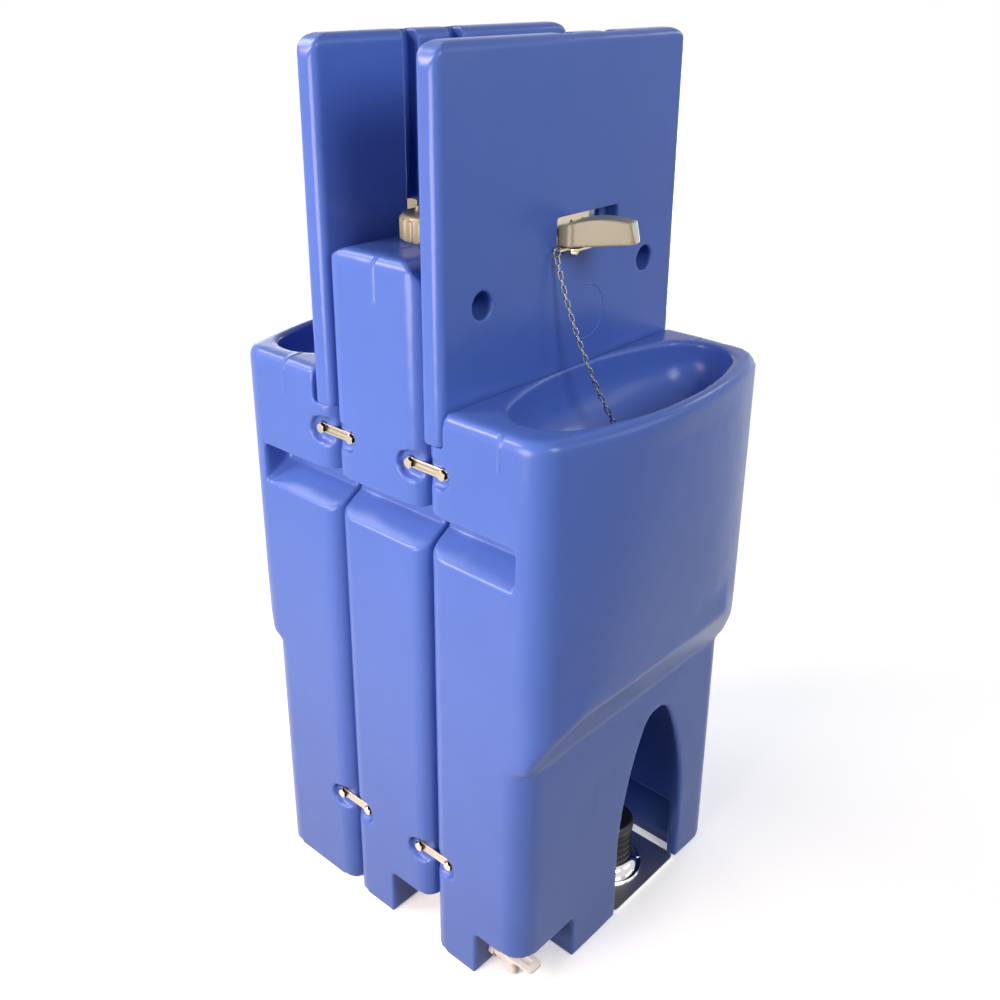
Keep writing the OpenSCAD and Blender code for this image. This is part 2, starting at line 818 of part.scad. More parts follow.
// Folded steel bracket: a plate on the back of the slot and a tongue under the spout
module spout_bracket() {
    tongue_y = pivot_y - hub_r + 4;
    ear_x = chain_top[0] - 1;
    ear_w = 12;
    color(steel) difference() {
        union() {
            translate([bracket_x, plate_y, slot_low]) cube([bracket_w, steel_t, slot_h - 1]);
            translate([bracket_x, tongue_y + tongue_r, slot_low])
                cube([tongue_w, plate_y + steel_t - tongue_y - tongue_r, tongue_t]);
            translate([bracket_x + tongue_r, tongue_y, slot_low])
                cube([tongue_w - 2 * tongue_r, tongue_r + cut, tongue_t]);
            for (x = [tongue_r, tongue_w - tongue_r])
                translate([bracket_x + x, tongue_y + tongue_r, slot_low])
                    cylinder(r = tongue_r, h = tongue_t);
            translate([ear_x, chain_top[1] - ear_w / 2, slot_low])
                cube([bracket_x - ear_x + cut, ear_w, tongue_t]);
        }
        for (x = [0.58, 0.84]) translate([bracket_x + x * bracket_w, plate_y - cut, slot_top - 17])
            rotate([-90, 0, 0]) cylinder(r = 3.5, h = steel_t + 2 * cut);
        translate([pivot_x, pivot_y, slot_low - cut]) cylinder(r = pivot_r + 0.05, h = tongue_t + 2 * cut);
        translate([chain_top[0] + 5.2, chain_top[1], slot_low - cut])
            cylinder(r = 3.5, h = tongue_t + 2 * cut);
    }
}

// Pivot bolt with its domed nut below the bracket
module spout_pivot() {
    color(steel) translate([pivot_x, pivot_y, 0]) {
        translate([0, 0, slot_low - 3]) cylinder(r = pivot_r, h = spout_z - slot_low + 19);
        translate([0, 0, slot_low - 7]) cylinder(r = 6.5, h = 7, $fn = 6);
        translate([0, 0, slot_low - 7]) sphere(r = 5.5);
    }
}

// Side view of the spout, along and up: a long curve over the top and a leaning tip
module spout_side_outline() {
    intersection() {
        polygon([
            [-hub_r - cut, 0], [0, 0], [spout_l, spout_lift],
            [spout_l - spout_lean, 1.5 * spout_h], [-hub_r - cut, 1.5 * spout_h]
        ]);
        translate([spout_top_x, spout_h - spout_arc_r]) circle(spout_arc_r, $fn = 360);
    }
}

// Plan view of the spout, along and across
module spout_plan_outline() {
    tip = spout_tip_w / 2;
    root = hub_r - 0.4;
    tip_x = spout_l - spout_tip_r;
    circle(hub_r);
    polygon([[0, -root], [tip_x, -tip], [tip_x, tip], [0, root]]);
    translate([tip_x - cut, spout_tip_r - tip]) square([spout_tip_r + cut, 2 * (tip - spout_tip_r)]);
    for (s = [-1, 1]) translate([tip_x, s * (tip - spout_tip_r)]) circle(spout_tip_r);
}

module spout() {
    outlet_x = spout_l - 15;
    color(beige) translate([pivot_x, pivot_y, spout_z]) rotate([0, 0, spout_swing - 90]) difference() {
        intersection() {
            linear_extrude(2 * spout_h) spout_plan_outline();
            rotate([90, 0, 0]) translate([0, 0, -2 * hub_r]) linear_extrude(4 * hub_r) spout_side_outline();
        }
        translate([0, 0, -cut]) cylinder(r = pivot_bore_r, h = 18);
        translate([outlet_x, 0, -cut]) cylinder(r = 1.5 * water_r, h = spout_h / 2);
        translate([hub_r / 2, 0, spout_h / 3]) rotate([0, 90, 0])
            cylinder(r = water_r, h = outlet_x - hub_r / 2);
    }
}

// Grey elbow that leads the water from the delivery hose to the back of the spout's hub
module tap_elbow() {
    end_y = pivot_y + hub_r + 0.3;
    color("gray") {
        translate([hose_x, pipe_y, slot_low - 19])
            cylinder(r = pipe_r, h = pipe_z - pipe_bend - slot_low + 19);
        translate([hose_x - pipe_bend, pipe_y, pipe_z - pipe_bend]) rotate([90, 0, 0])
            rotate_extrude(angle = 90) translate([pipe_bend, 0]) circle(pipe_r);
        translate([pivot_x, pipe_y, pipe_z]) rotate([0, 90, 0])
            cylinder(r = pipe_r, h = hose_x - pipe_bend - pivot_x);
        translate([pivot_x, end_y, pipe_z]) rotate([-90, 0, 0])
            cylinder(r = pipe_r + 1, h = pipe_y - end_y + 3);
    }
}

// ---- plug and chain ----

// Closed wire loop: wire centres from z = 0 to z = l, w between its sides, lying in local X and Z
module wire_loop(l, w, r) {
    for (s = [-1, 1]) translate([s * w / 2, 0, w / 2]) cylinder(r = r, h = l - w, $fn = 16);
    translate([0, 0, l - w / 2]) rotate([90, 0, 0])
        rotate_extrude(angle = 180, $fn = 24) translate([w / 2, 0]) circle(r, $fn = 16);
    translate([0, 0, w / 2]) rotate([-90, 0, 0])
        rotate_extrude(angle = 180, $fn = 24) translate([w / 2, 0]) circle(r, $fn = 16);
}

module plug_chain() {
    color(steel) {
        translate(chain_top + [0, 0, ring_r]) rotate([90, 0, 0])
            rotate_extrude($fn = 32) translate([ring_r, 0]) circle(ring_wire_r, $fn = 16);
        for (k = [0 : chain_links - 1]) {
            s0 = k * chain_step - chain_lift;
            p = chain_point(s0 / chain_run);
            q = chain_point((s0 + link_wire_l) / chain_run);
            along(p, q) rotate([0, 0, 90 * (k % 2)]) wire_loop(link_wire_l, link_mid_w, chain_wire_r);
        }
    }
}

// Rubber plug with a post and a cross hole for the clip
module bowl_plug() {
    color("dimgray") translate([bowl_x, bowl_y, waste_z]) difference() {
        union() {
            translate([0, 0, -9]) cylinder(r1 = plug_d / 2 - 3.8, r2 = plug_d / 2 - 1, h = 12);
            rotate_extrude() edge_outline(plug_d / 2 + 1.5, 6, 2);
            translate([0, 0, 5]) rotate_extrude() edge_outline(3.2, 15, 1.2);
        }
        translate([0, 0, 16]) rotate([0, 0, atan2(clip_lean[1], clip_lean[0]) - 90]) rotate([0, 90, 0])
            translate([0, 0, -10]) cylinder(r = 2.2, h = 20);
    }
}

module plug_clip() {
    color(steel) along(clip_foot, clip_top) rotate([0, 0, 90]) wire_loop(clip_l, clip_w, clip_wire_r);
}

// Waste fitting: flange in the bowl, cross bars and a threaded tail
module bowl_waste() {
    color(steel) translate([bowl_x, bowl_y, waste_z - waste_t]) {
        difference() {
            union() {
                rotate_extrude() edge_outline(waste_r, waste_t, 1.5);
                translate([0, 0, -34]) cylinder(r = waste_tail_r, h = 35);
            }
            translate([0, 0, -7]) cylinder(r1 = plug_d / 2 - 3.2, r2 = plug_d / 2, h = 11);
            translate([0, 0, -40]) cylinder(r = plug_d / 2 - 3.2, h = 40);
        }
        for (a = [0, 90]) rotate([0, 0, a]) translate([-20, -1.5, -14]) cube([40, 3, 4]);
    }
}

module waste_nut() {
    color("dimgray") translate([bowl_x, bowl_y, waste_z - waste_boss - 12]) difference() {
        cylinder(r = 33, h = 12, $fn = 8);
        translate([0, 0, -cut]) cylinder(r = waste_tail_r + 0.05, h = 20);
    }
}

// ---- pump ----

// Polished steel floor plate of the foot bay
module kick_plate() {
    w = bay_w / 2 - 0.6;
    y0 = leg_y + 2;
    color(steel) difference() {
        translate([bay_x - w, y0, 0]) cube([2 * w, bay_back - y0, plate_t]);
        for (s = [0, 1]) translate([bay_x, 0, 0]) mirror([s, 0, 0]) translate([w, y0, 0])
            mirror([0, 1, 0]) corner_cut(12, -cut, plate_t + cut);
    }
}

// Polished domed flange that clamps the bellows
module pump_base() {
    neck = bellows_r - 4;
    color(steel) translate([bay_x, pump_y, plate_t]) difference() {
        rotate_extrude() {
            square([pump_r, 3]);
            intersection() {
                translate([neck - 2, 3]) circle(dome_h - 3);
                square([pump_r - 2, dome_h]);
            }
            square([neck - 2, dome_h]);
        }
        translate([0, 0, 4]) cylinder(r = neck - 6, h = dome_h);
        for (a = [45 : 90 : 315]) rotate([0, 0, a]) translate([pump_r - 4, 0, -cut])
            cylinder(r = 2.2, h = 10);
    }
}

// Folded rubber bellows, open at both ends
module pump_bellows() {
    pitch = bellows_h / bellows_folds;
    in_r = bellows_r - 8;
    skin = 2.5;
    color("#1c1d20") translate([bay_x, pump_y, bellows_z]) rotate_extrude() for (i = [0 : bellows_folds - 1])
        translate([0, i * pitch]) polygon([
            [in_r, 0], [bellows_r, pitch * 0.38], [bellows_r, pitch * 0.62], [in_r, pitch],
            [in_r - skin, pitch], [bellows_r - skin, pitch / 2], [in_r - skin, 0]
        ]);
}

// Ribbed round tread that the foot presses
module pump_tread() {
    ribs = 5;
    color("#26272b") translate([bay_x, pump_y, bellows_z + bellows_h + clear]) difference() {
        rotate_extrude() edge_outline(bellows_r + 1, tread_h, 6);
        for (i = [0 : ribs - 1]) translate([-bellows_r - 2, (i - (ribs - 1) / 2) * 11 - 1.5, tread_h - 2])
            cube([2 * bellows_r + 4, 3, 5]);
    }
}

// Non-return valves behind the pump: one barb in, one elbow out
module pump_valves() {
    z = port_z;
    y0 = pump_y + pump_r - 12;
    color("#1c1d20") {
        difference() {
            union() {
                translate([port_x[0] - 10, y0 + 12.5, plate_t]) cube([port_x[1] - port_x[0] + 20, 8, 24]);
                translate([port_x[0], y0 + 14, z]) rotate([-90, 0, 0]) cylinder(r = barb_r, h = 15);
            }
            translate([port_x[0], y0 + 12, z]) rotate([-90, 0, 0]) cylinder(r = 4, h = 30);
        }
        translate([port_x[1], y0 + 14, z]) rotate([-90, 0, 0]) cylinder(r = outlet_r, h = hose_y - y0 - 14);
        translate([port_x[1], hose_y, z]) sphere(r = outlet_r);
        translate([port_x[1], hose_y, z]) cylinder(r = outlet_r, h = 32);
    }
}

module suction_hose() {
    y0 = pump_y + pump_r + 9;
    y1 = -tank_y - 5;
    color("#30343a") translate([port_x[0], y0, port_z]) rotate([-90, 0, 0]) difference() {
        cylinder(r = suction_r, h = y1 - y0);
        translate([0, 0, -cut]) cylinder(r = barb_r + 0.05, h = y1 - y0 + 2 * cut);
    }
}

module delivery_hose() {
    z0 = port_z + 12;
    z1 = slot_low - 2;
    color("#30343a") translate([hose_x, hose_y, z0]) difference() {
        cylinder(r = hose_r, h = z1 - z0);
        translate([0, 0, -cut]) cylinder(r = hose_bore_r, h = z1 - z0 + 2 * cut);
    }
}

// ---- drain ----

module drain_valve() {
    color("#e9ebea") translate([valve_x, cut_y, valve_z]) difference() {
        union() {
            rotate([90, 0, 0]) cylinder(r = 14, h = 9, $fn = 6);
            rotate([90, 0, 0]) cylinder(r = 10, h = 40);
            translate([0, -27, 0]) cylinder(r = 11, h = lever_z - valve_z - clear);
            translate([0, -40, 0]) sphere(r = 10);
            translate([0, -40, -20]) cylinder(r = 8, h = 20);
            translate([0, -3, 0]) rotate([-90, 0, 0]) cylinder(r = 9, h = 20);
        }
        translate([0, -40, -21]) cylinder(r = 5, h = 21);
    }
}

module drain_lever() {
    color("#f4f4f2") translate([valve_x, lever_y, lever_z]) {
        difference() {
            union() {
                cylinder(r = lever_w / 2, h = lever_t);
                translate([-lever_w / 2, -lever_l, 0]) cube([lever_w, lever_l, lever_t]);
                cylinder(r = 8, h = lever_t + 5);
            }
            for (s = [0, 1]) mirror([s, 0, 0]) translate([lever_w / 2, -lever_l, 0]) mirror([0, 1, 0])
                corner_cut(8, -cut, 20);
            translate([-5, -lever_l + 12, lever_t - 1.5]) cube([10, 28, 5]);
        }
    }
}

// ---- joint hardware ----

// Places children at every link plate, level and turned to face outwards along +X
module at_links() {
    for (a = [0, 180]) rotate([0, 0, a]) both_sides() for (z = link_z)
        translate([link_x, back_y + joint_gap / 2, z]) children();
}

module link_plates() {
    color(steel) at_links() difference() {
        across_x(0, link_t) slot_outline(-link_l / 2, link_l / 2, 0, link_w);
        for (s = [-1, 1]) translate([-cut, s * link_pitch / 2, 0]) rotate([0, 90, 0])
            cylinder(r = bolt_r + 0.35, h = link_t + 2 * cut);
    }
}

module link_bolts() {
    color("#b9ae92") at_links() for (s = [-1, 1]) translate([0, s * link_pitch / 2, 0]) rotate([0, 90, 0]) {
        translate([0, 0, link_t]) intersection() {
            cylinder(r = bolt_head_r, h = bolt_head_h, $fn = 6);
            cylinder(r1 = bolt_head_r + 3, r2 = bolt_head_r - 1.1, h = bolt_head_h);
        }
        translate([0, 0, 1 - insert_l]) cylinder(r = bolt_r, h = insert_l + link_t);
    }
}

module thread_inserts() {
    color("goldenrod") at_links() for (s = [-1, 1]) translate([-insert_l, s * link_pitch / 2, 0])
        rotate([0, 90, 0]) difference() {
            cylinder(r = insert_r, h = insert_l);
            translate([0, 0, -cut]) cylinder(r = bolt_bore_r, h = insert_l + 2 * cut);
        }
}

basin_unit();  // front_basin_unit
rear() basin_unit();  // rear_basin_unit
fresh_water_tank();
splashback();  // front_splashback
rear() splashback();  // rear_splashback
filler_cap();
filler_cap_seal();
tank_drain_plug();
tank_outlets();
spout();  // front_spout
rear() spout();  // rear_spout
spout_bracket();  // front_spout_bracket
rear() spout_bracket();  // rear_spout_bracket
spout_pivot();  // front_spout_pivot
rear() spout_pivot();  // rear_spout_pivot
tap_elbow();  // front_tap_elbow
rear() tap_elbow();  // rear_tap_elbow
plug_chain();  // front_plug_chain
rear() plug_chain();  // rear_plug_chain
bowl_plug();  // front_bowl_plug
rear() bowl_plug();  // rear_bowl_plug
plug_clip();  // front_plug_clip
rear() plug_clip();  // rear_plug_clip
bowl_waste();  // front_bowl_waste
rear() bowl_waste();  // rear_bowl_waste
waste_nut();  // front_waste_nut
rear() waste_nut();  // rear_waste_nut
kick_plate();  // front_kick_plate
rear() kick_plate();  // rear_kick_plate
pump_base();  // front_pump_base
rear() pump_base();  // rear_pump_base
pump_bellows();  // front_pump_bellows
rear() pump_bellows();  // rear_pump_bellows
pump_tread();  // front_pump_tread
rear() pump_tread();  // rear_pump_tread
pump_valves();  // front_pump_valves
rear() pump_valves();  // rear_pump_valves
suction_hose();  // front_suction_hose
rear() suction_hose();  // rear_suction_hose
delivery_hose();  // front_delivery_hose
rear() delivery_hose();  // rear_delivery_hose
drain_valve();  // front_drain_valve
rear() drain_valve();  // rear_drain_valve
drain_lever();  // front_drain_lever
rear() drain_lever();  // rear_drain_lever
link_plates();
link_bolts();
thread_inserts();
panel_screws();  // front_panel_screws
rear() panel_screws();  // rear_panel_screws
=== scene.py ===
"""Double-sided hand-wash station in blue rotomoulded plastic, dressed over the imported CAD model."""

import math

import bmesh
import bpy
import numpy as np
from mathutils import Matrix, Vector


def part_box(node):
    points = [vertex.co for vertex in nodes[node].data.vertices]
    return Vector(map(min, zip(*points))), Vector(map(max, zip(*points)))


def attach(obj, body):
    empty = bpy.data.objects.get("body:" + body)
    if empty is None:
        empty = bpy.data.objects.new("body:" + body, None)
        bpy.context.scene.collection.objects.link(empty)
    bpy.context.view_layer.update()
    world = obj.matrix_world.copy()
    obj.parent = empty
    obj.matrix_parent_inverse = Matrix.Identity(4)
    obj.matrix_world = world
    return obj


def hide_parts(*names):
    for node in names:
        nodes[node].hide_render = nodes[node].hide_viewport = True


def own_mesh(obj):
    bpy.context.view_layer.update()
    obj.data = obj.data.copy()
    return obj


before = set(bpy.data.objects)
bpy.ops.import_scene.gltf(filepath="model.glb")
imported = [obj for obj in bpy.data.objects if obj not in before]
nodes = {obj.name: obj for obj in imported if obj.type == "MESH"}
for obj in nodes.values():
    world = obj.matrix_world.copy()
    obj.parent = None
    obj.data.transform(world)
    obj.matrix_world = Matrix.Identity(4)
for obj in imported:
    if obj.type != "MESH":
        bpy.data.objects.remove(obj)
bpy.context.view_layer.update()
scene = bpy.context.scene

# ---- basin units ----
# Two rotomoulded polyethylene shells, each one piece with its bowl, leg, foot bay and grey-water tank.
# Powder melted against a hot mould gives soft edges and a satin skin with a faint orange peel.


def linear(text):
    """Linear RGBA of an sRGB hex colour."""
    rgb = [int(text[i : i + 2], 16) / 255 for i in (1, 3, 5)]
    return [c / 12.92 if c <= 0.04045 else ((c + 0.055) / 1.055) ** 2.4 for c in rgb] + [1.0]


def add(tree, kind, settings=None, **inputs):
    """Adds a node with its settings; an input takes a value or another node's output."""
    node = tree.nodes.new(kind)
    for name, value in (settings or {}).items():
        setattr(node, name, value)
    for name, value in inputs.items():
        key = int(name[1:]) if name[0] == "n" and name[1:].isdigit() else name.replace("_", " ")
        if isinstance(value, bpy.types.NodeSocket):
            tree.links.new(value, node.inputs[key])
        else:
            node.inputs[key].default_value = value
    return node


def finish_of(name, colour, roughness, **sockets):
    """A material named for the real one, with its plain values set on the shader itself."""
    made = bpy.data.materials.new(name)
    made.use_nodes = True
    shader = made.node_tree.nodes["Principled BSDF"]
    shader.inputs["Base Color"].default_value = linear(colour)
    shader.inputs["Roughness"].default_value = roughness
    for key, value in sockets.items():
        shader.inputs[key.replace("_", " ")].default_value = value
    return made, made.node_tree, shader


def shell_plastic(name, seam=None):
    """Satin blue polyethylene: soft clouds, long waves and orange peel that break up its highlights.

    seam = (y, slope, lowest z, x free of it) is the mould's parting line.
    """
    made, tree, shader = finish_of(name, "#4a69bb", 0.27, Specular_IOR_Level=0.3, IOR=1.5)
    coords = add(tree, "ShaderNodeTexCoord").outputs["Object"]
    # clouds about 12 cm across, where the wall's thickness and the light handling marks vary
    cloud = add(tree, "ShaderNodeTexNoise", Vector=coords, Scale=8.0, Detail=5.0, Roughness=0.6)
    tint = add(tree, "ShaderNodeMix", {"data_type": "RGBA"}, n0=cloud.outputs["Fac"])
    tint.inputs[6].default_value = linear("#4665b6")
    tint.inputs[7].default_value = linear("#4f6dc0")
    tree.links.new(tint.outputs[2], shader.inputs["Base Color"])
    # orange peel: dimples 4 mm apart and a tenth of a millimetre deep
    peel = add(tree, "ShaderNodeTexNoise", Vector=coords, Scale=250.0, Detail=2.0)
    dimples = add(tree, "ShaderNodeBump", Height=peel.outputs["Fac"], Distance=0.00010, Strength=1.0)
    # long waves, 7 cm apart, where the cooling wall has drawn in
    wave = add(tree, "ShaderNodeTexNoise", Vector=coords, Scale=14.0, Detail=2.0)
    skin = add(tree, "ShaderNodeBump", Height=wave.outputs["Fac"], Distance=0.0016, Strength=1.0,
               Normal=dimples.outputs["Normal"])
    if seam:
        y, slope, lowest, inner = seam
        part = add(tree, "ShaderNodeSeparateXYZ", Vector=coords)
        tilt = add(tree, "ShaderNodeMath", {"operation": "MULTIPLY_ADD"},
                   n0=part.outputs["X"], n1=-slope, n2=part.outputs["Y"])
        off = add(tree, "ShaderNodeMath", {"operation": "SUBTRACT"}, n0=tilt.outputs[0], n1=y)
        off = add(tree, "ShaderNodeMath", {"operation": "ABSOLUTE"}, n0=off.outputs[0])
        # sharpens the ridge that raise_seam puts in the mesh; the real one is 2 mm wide, drawn 8 mm
        ridge = add(tree, "ShaderNodeMapRange", {"interpolation_type": "SMOOTHSTEP"},
                    Value=off.outputs[0], From_Min=0.0, From_Max=0.004, To_Min=1.0, To_Max=0.0)
        high = add(tree, "ShaderNodeMapRange", Value=part.outputs["Z"],
                   From_Min=lowest, From_Max=lowest + 0.01)
        wide = add(tree, "ShaderNodeMath", {"operation": "ABSOLUTE"}, n0=part.outputs["X"])
        side = add(tree, "ShaderNodeMapRange", Value=wide.outputs[0],
                   From_Min=inner, From_Max=inner + 0.006)
        both = add(tree, "ShaderNodeMath", {"operation": "MULTIPLY"},
                   n0=high.outputs[0], n1=side.outputs[0])
        line = add(tree, "ShaderNodeMath", {"operation": "MULTIPLY"},
                   n0=ridge.outputs[0], n1=both.outputs[0])
        skin = add(tree, "ShaderNodeBump", Height=line.outputs[0], Distance=0.0010, Strength=1.0,
                   Normal=skin.outputs["Normal"])
    tree.links.new(skin.outputs["Normal"], shader.inputs["Normal"])
    return made


def remeshed(name, node, voxel, fillers=()):
    """An even mesh of a CAD node. fillers are boxes that close holes; a fully closed inside is left out."""
    work = bmesh.new()
    work.from_mesh(nodes[node].data)
    for low, high in fillers:
        low, high = Vector(low), Vector(high)
        shape = Matrix.Translation((low + high) / 2) @ Matrix.Diagonal((*(high - low), 1))
        bmesh.ops.create_cube(work, size=1.0, matrix=shape)
    mesh = bpy.data.meshes.new(name + "_work")
    work.to_mesh(mesh)
    work.free()
    holder = bpy.data.objects.new(name + "_work", mesh)
    scene.collection.objects.link(holder)
    step = holder.modifiers.new("remesh", "REMESH")
    step.mode, step.voxel_size = "VOXEL", voxel
    shown = holder.evaluated_get(bpy.context.evaluated_depsgraph_get())
    made = bpy.data.meshes.new_from_object(shown)
    bpy.data.objects.remove(holder)
    bpy.data.meshes.remove(mesh)
    made.name = name
    made.polygons.foreach_set("use_smooth", [True] * len(made.polygons))
    return made


def places(mesh):
    """The mesh's vertices as an array of n rows of x, y and z."""
    place = np.empty(len(mesh.vertices) * 3)
    mesh.vertices.foreach_get("co", place)
    return place.reshape(-1, 3)


def move_to(mesh, place):
    """Puts the mesh's vertices at the rows of place."""
    mesh.vertices.foreach_set("co", place.ravel())
    mesh.update()


def soften(mesh, steps, weight=None):
    """Rounds the edges of mesh in that many steps; weight gives 0 to 1 for each place."""
    place = places(mesh)
    count = len(place)
    ends = np.empty(len(mesh.edges) * 2, np.int32)
    mesh.edges.foreach_get("vertices", ends)
    a, b = ends[0::2], ends[1::2]
    pull = np.full(count, 0.5) if weight is None else 0.5 * weight(place)
    kept = pull[a] + pull[b] > 0
    a, b = a[kept], b[kept]
    degree = (np.bincount(a, minlength=count) + np.bincount(b, minlength=count)).clip(1)
    for _ in range(steps):
        for k in range(3):
            total = np.bincount(a, place[b, k], count) + np.bincount(b, place[a, k], count)
            place[:, k] += pull * np.where(degree > 2, total / degree - place[:, k], 0)
    move_to(mesh, place)


def show(name, mesh, material, slot, body, *stands_for):
    """Shows mesh as a piece that rides on body and stands for those CAD nodes."""
    mesh.materials.clear()
    mesh.materials.append(material)
    piece = bpy.data.objects.new(name, mesh)
    scene.collection.objects.link(piece)
    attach(piece, body)
    if stands_for:
        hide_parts(*stands_for)
    return piece


def turned(mesh):
    """A copy of mesh turned half round, for the rear station."""
    copy = mesh.copy()
    copy.transform(Matrix.Rotation(math.pi, 4, "Z"))
    return copy


def ramp(value, low, high):
    """0 below low, 1 above high."""
    return np.clip((value - low) / (high - low), 0, 1)


def broad_edges(place):
    """The band over the leg and the rim of the arch, which have the moulding's broadest curves."""
    x, y, z = place.T
    arch_x = 0.066
    front = ramp(-y, 0.242, 0.256)
    band = ramp(z, 0.36, 0.39) * (1 - ramp(z, 0.49, 0.53)) * front
    arch = ramp(-y, 0.245, 0.255) * (1 - ramp(np.abs(x - arch_x), 0.10, 0.12))
    return np.maximum(band, arch * (1 - ramp(z, 0.36, 0.39)))


def band_ends(place):
    """Both ends of the band, where it runs out into the rounded corners of the shell."""
    x, y, z = place.T
    height = ramp(z, 0.39, 0.42) * (1 - ramp(z, 0.47, 0.50))
    return height * ramp(np.abs(x), 0.15, 0.18) * ramp(-y, 0.19, 0.22)


def bowl_lip(place):
    """The rounded lip where the deck turns down into the bowl."""
    x, y, z = place.T
    bowl_x, bowl_y, half_length, half_width = 0.006, -0.22, 0.207, 0.09
    reach = np.hypot((x - bowl_x) / half_length, (y - bowl_y) / half_width)
    return ramp(z, 0.850, 0.862) * ramp(reach, 0.74, 0.86) * (1 - ramp(reach, 1.10, 1.20))


def melt_front(mesh):
    """Blends the bowed front into the leaning front, which meet in a crease in the CAD solid."""
    bow_y, bow_radius = 0.3424, 0.6694  # the bowed front's plan is an arc about this centre
    knee_y, knee_z = -0.303, 0.48  # the leaning front bends here
    lean_above, lean_below = -0.0696, -0.475
    reach = 0.022  # how near the two fronts lie where the blend starts
    place = places(mesh)
    x, y, z = place.T
    bowed = bow_y - np.sqrt(bow_radius**2 - np.clip(np.abs(x), 0, 0.3) ** 2)
    leaning = knee_y + np.where(z > knee_z, lean_above, lean_below) * (z - knee_z)
    share = np.clip(1 - np.abs(bowed - leaning) / reach, 0, 1) ** 2 * reach / 4
    near = 1 - ramp(np.abs(y - np.maximum(bowed, leaning)), 0.003, 0.006)
    within = (1 - ramp(np.abs(x), 0.2, 0.217)) * ramp(z, 0.49, 0.53) * (1 - ramp(z, 0.83, 0.87))
    y += share * near * within
    move_to(mesh, place)


def raise_seam(mesh, y, slope, lowest, inner):
    """Raises the parting line out of the mesh as a ridge 0.6 mm high and 10 mm wide."""
    height, half_width = 0.0006, 0.005
    place = places(mesh)
    normal = np.empty(place.size)
    mesh.vertices.foreach_get("normal", normal)
    off = np.abs(place[:, 1] - slope * place[:, 0] - y)
    share = (1 - ramp(off, 0.0, half_width)) * ramp(place[:, 2], lowest, lowest + 0.01)
    share *= ramp(np.abs(place[:, 0]), inner, inner + 0.006)
    move_to(mesh, place + height * share[:, None] * normal.reshape(-1, 3))


shell_voxel = 0.0033
waste_hole = ((-0.022, -0.248, 0.735), (0.034, -0.192, 0.752))
valve_hole = ((-0.218, -0.176, 0.012), (-0.194, -0.160, 0.036))
basin_seam = (-0.203, 0.0646, 0.826, 0.206)
rear_basin_seam = (0.203, 0.0646, 0.826, 0.206)
basin = remeshed("front_basin_moulding", "front_basin_unit", shell_voxel, [waste_hole, valve_hole])
melt_front(basin)
soften(basin, 2)
soften(basin, 3, broad_edges)
soften(basin, 30, band_ends)
soften(basin, 5, bowl_lip)
raise_seam(basin, *basin_seam)
basin_plastic = shell_plastic("rotomoulded_blue_polyethylene", basin_seam)
basin_back = shell_plastic("rotomoulded_blue_polyethylene_rear", rear_basin_seam)
show("front_basin_moulding", basin, basin_plastic, "blue_polyethylene", "station",
     "front_basin_unit")
show("rear_basin_moulding", turned(basin), basin_back, "blue_polyethylene", "station",
     "rear_basin_unit")

# ---- fresh-water tank ----
# The tall shell between the basin units, moulded in the same blue polyethylene, with its filler neck.
# A parting line crosses its top. Its outlet bores stay open, so its inside walls stay too.
neck_room = ((-0.18, -0.046, 0.985), (-0.076, 0.046, 1.030))
drain_hole = ((-0.155, -0.063, 0.012), (-0.138, -0.023, 0.052))
tank_seam = (-0.008, 0.0, 0.99, 0.0)
tank = remeshed("tank_moulding", "fresh_water_tank", shell_voxel, [neck_room, drain_hole])
soften(tank, 2)
raise_seam(tank, *tank_seam)
tank_plastic = shell_plastic("rotomoulded_blue_polyethylene_tank", tank_seam)
show("tank_moulding", tank, tank_plastic, "blue_polyethylene", "station", "fresh_water_tank")

# ---- splashbacks ----
# Flat hollow panels of the same plastic, 36 mm thick, that stand in the rebates of the basin units.
# A plain moulded ring sits below each tap slot.
panel_voxel = 0.0024
panel = remeshed("front_panel_moulding", "front_splashback", panel_voxel)
soften(panel, 3)
panel_plastic = shell_plastic("rotomoulded_blue_polyethylene_panel")
show("front_panel_moulding", panel, panel_plastic, "blue_polyethylene", "station",
     "front_splashback")
show("rear_panel_moulding", turned(panel), panel_plastic, "blue_polyethylene", "station",
     "rear_splashback")
ring_x, ring_z, ring_radius, ring_wire = 0.0375, 0.949, 0.0385, 0.0009
ring_sink = 0.0003  # the ring's middle lies this far inside the panel's face
turns, sides = 120, 8
panel_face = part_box("front_splashback")[0].y
ring = bpy.data.meshes.new("front_panel_ring")
work = bmesh.new()
rows = []
for i in range(turns):
    angle = 2 * math.pi * i / turns
    row = []
    for k in range(sides):
        around = 2 * math.pi * k / sides
        out = ring_radius + ring_wire * math.cos(around)
        depth = panel_face + ring_sink - ring_wire * math.sin(around)
        spot = (ring_x + out * math.cos(angle), depth, ring_z + out * math.sin(angle))
        row.append(work.verts.new(spot))
    rows.append(row)
for i in range(turns):
    for k in range(sides):
        a, b = rows[i], rows[(i + 1) % turns]
        work.faces.new((a[k], a[(k + 1) % sides], b[(k + 1) % sides], b[k])).smooth = True
bmesh.ops.recalc_face_normals(work, faces=work.faces)
work.to_mesh(ring)
work.free()
show("front_panel_ring", ring, panel_plastic, "blue_polyethylene", "station")
show("rear_panel_ring", turned(ring), panel_plastic, "blue_polyethylene", "station")

# ---- joint hardware ----
# Laser-cut stainless plates bolted with M8 hexagon bolts into brass inserts that are moulded in.
# Satin sheet with broken edges; dark steel screws hold the splashbacks.


